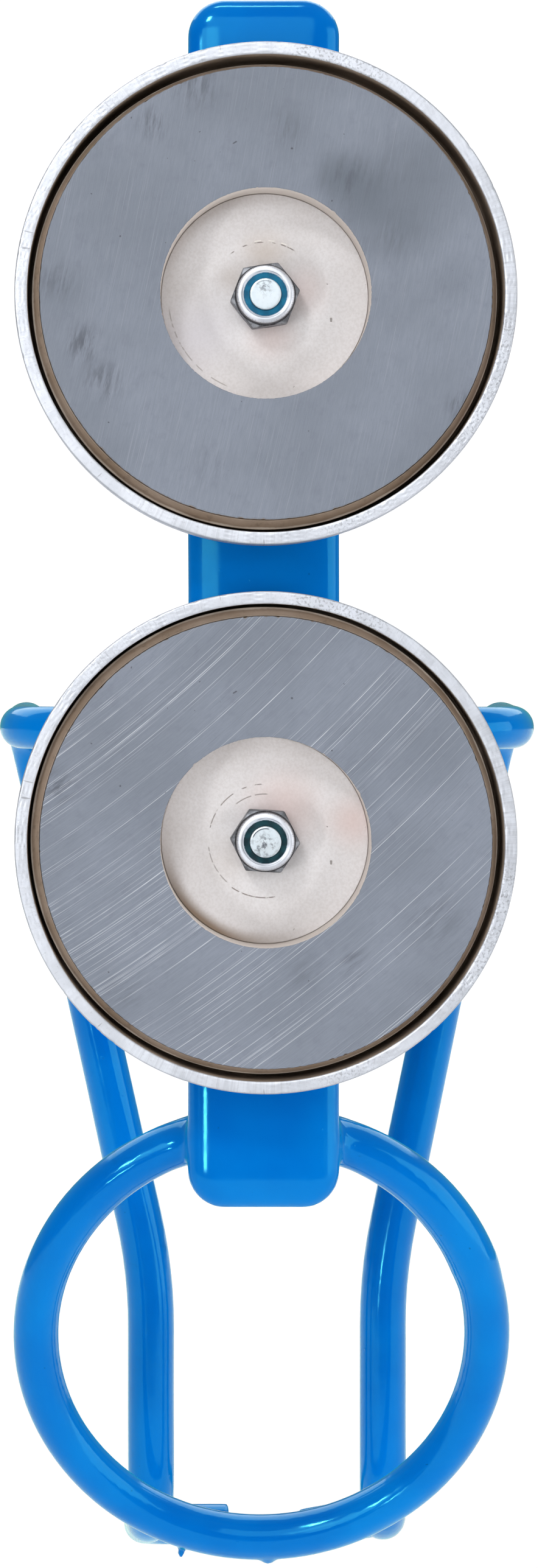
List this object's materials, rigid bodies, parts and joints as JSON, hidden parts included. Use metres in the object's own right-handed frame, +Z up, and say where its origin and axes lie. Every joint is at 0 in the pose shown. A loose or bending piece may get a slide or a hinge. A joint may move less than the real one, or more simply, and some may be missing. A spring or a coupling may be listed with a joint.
{
  "type": "magnetic tool holder",
  "caption": "Wall holder for a hand tool: a vinyl-dipped steel strip with a tilted ring and a bent-rod cage, held to a steel surface by pot magnets bolted to its back.",
  "frame": {"origin": "centre of the upper magnet's face, on the plane that grips the wall", "axes": "+Z up along the strip, +Y away from the wall, +X to the right as the magnets are seen"},
  "size_m": [0.0896, 0.0992, 0.2717],
  "materials": {
    "bare_steel": "as drawn, under the vinyl",
    "weld_metal": "as welded, under the vinyl",
    "blue_vinyl": "thick glossy plastisol dip",
    "plated_cup": "zinc plated, worn",
    "ferrite": "ground grey ferrite with chipped edges",
    "potting_resin": "tan resin",
    "cream_plastic": "matte moulded",
    "plated_fastener": "bright zinc plated",
    "blue_nylon": "moulded nylon",
    "teal_nylon": "moulded nylon"
  },
  "bodies": {
    "frame": {"mounting_strip": "bare_steel", "ring_rod": "bare_steel", "cage_rod": "bare_steel", "ring_weld_beads": "weld_metal", "cage_weld_beads": "weld_metal", "vinyl_skin": "blue_vinyl", "upper_bolt": "plated_fastener", "upper_head_washer": "plated_fastener", "upper_lock_nut": "plated_fastener", "upper_nylon_insert": "blue_nylon", "lower_bolt": "plated_fastener", "lower_head_washer": "plated_fastener", "lower_lock_nut": "plated_fastener", "lower_nylon_insert": "teal_nylon"},
    "upper_magnet": {"upper_pot_cup": "plated_cup", "upper_ferrite_ring": "ferrite", "upper_potting_ring": "potting_resin", "upper_centre_plug": "cream_plastic"},
    "lower_magnet": {"lower_pot_cup": "plated_cup", "lower_ferrite_ring": "ferrite", "lower_potting_ring": "potting_resin", "lower_centre_plug": "cream_plastic"}
  },
  "joints": [
    {"name": "upper_magnet_turn", "type": "hinge", "parent": "frame", "child": "upper_magnet", "pos_m": [0, 0, 0], "axis": [0, 1, 0], "continuous": true},
    {"name": "lower_magnet_turn", "type": "hinge", "parent": "frame", "child": "lower_magnet", "pos_m": [0, 0, -0.0874], "axis": [0, 1, 0], "continuous": true}
  ]
}
